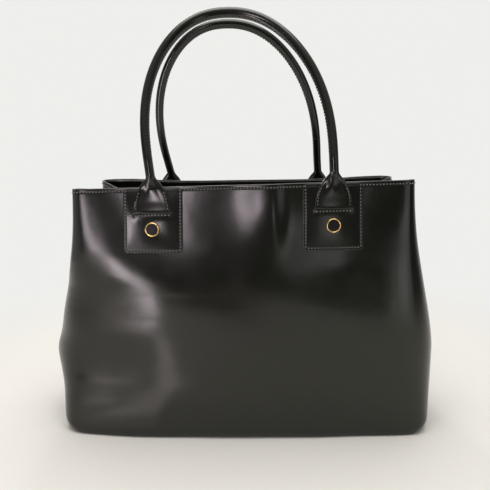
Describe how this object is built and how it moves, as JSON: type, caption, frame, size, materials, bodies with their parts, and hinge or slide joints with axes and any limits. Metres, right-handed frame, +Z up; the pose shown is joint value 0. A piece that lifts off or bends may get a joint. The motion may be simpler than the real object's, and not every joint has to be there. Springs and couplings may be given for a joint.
{
  "type": "diaper bag",
  "caption": "Structured open-top leather tote for baby things, with rolled handles on riveted square patches, folded-in gussets, a stiff flat base and pockets inside.",
  "frame": {"origin": "on the ground under the middle of the base", "axes": "+X to the right seen from the front, -Y out of the front, +Z up"},
  "size_m": [0.421, 0.156, 0.4532],
  "materials": {
    "black_leather": "smooth, semi-gloss",
    "black_lining": "matte woven",
    "grey_board": "matte fibreboard",
    "cotton_cord": "matte",
    "gold": "polished pale gold plating",
    "brass": "satin",
    "black_enamel": "glossy",
    "black_zip": "matte woven"
  },
  "bodies": {
    "bag": {"front_panel": "black_leather", "back_panel": "black_leather", "front_facing": "black_leather", "back_facing": "black_leather", "front_lining": "black_lining", "back_lining": "black_lining", "base_panel": "black_leather", "base_board": "grey_board", "base_lining": "black_lining", "front_left_patch": "black_leather", "front_left_handle_end": "black_leather", "front_left_rivet": "gold", "front_left_rivet_face": "black_enamel", "front_left_rivet_washer": "brass", "front_right_patch": "black_leather", "front_right_handle_end": "black_leather", "front_right_rivet": "gold", "front_right_rivet_face": "black_enamel", "front_right_rivet_washer": "brass", "back_left_patch": "black_leather", "back_left_handle_end": "black_leather", "back_left_rivet": "gold", "back_left_rivet_face": "black_enamel", "back_left_rivet_washer": "brass", "back_right_patch": "black_leather", "back_right_handle_end": "black_leather", "back_right_rivet": "gold", "back_right_rivet_face": "black_enamel", "back_right_rivet_washer": "brass", "front_snap": "gold", "back_snap": "gold", "slip_pocket": "black_lining", "zip_pocket": "black_lining", "zip_tape": "black_zip", "zip_stop_left": "gold", "zip_stop_right": "gold"},
    "front_handle": {"front_handle": "black_leather", "front_handle_core": "cotton_cord"},
    "back_handle": {"back_handle": "black_leather", "back_handle_core": "cotton_cord"},
    "zip_slider": {"zip_slider": "gold"},
    "zip_pull": {"zip_pull": "gold"}
  },
  "joints": [
    {"name": "front_handle_fold", "type": "hinge", "parent": "bag", "child": "front_handle", "pos_m": [0, -0.06508, 0.28478], "axis": [1, 0, 0], "range_deg": [-3, 110]},
    {"name": "back_handle_fold", "type": "hinge", "parent": "bag", "child": "back_handle", "pos_m": [0, 0.06508, 0.28478], "axis": [-1, 0, 0], "range_deg": [-3, 110]},
    {"name": "zip_slide", "type": "slide", "parent": "bag", "child": "zip_slider", "axis": [-1, 0, 0], "range_m": [0, 0.1515]},
    {"name": "zip_pull_swing", "type": "hinge", "parent": "zip_slider", "child": "zip_pull", "pos_m": [0.07595, 0.0559, 0.19865], "axis": [-1, 0, 0], "range_deg": [-8, 150]}
  ]
}
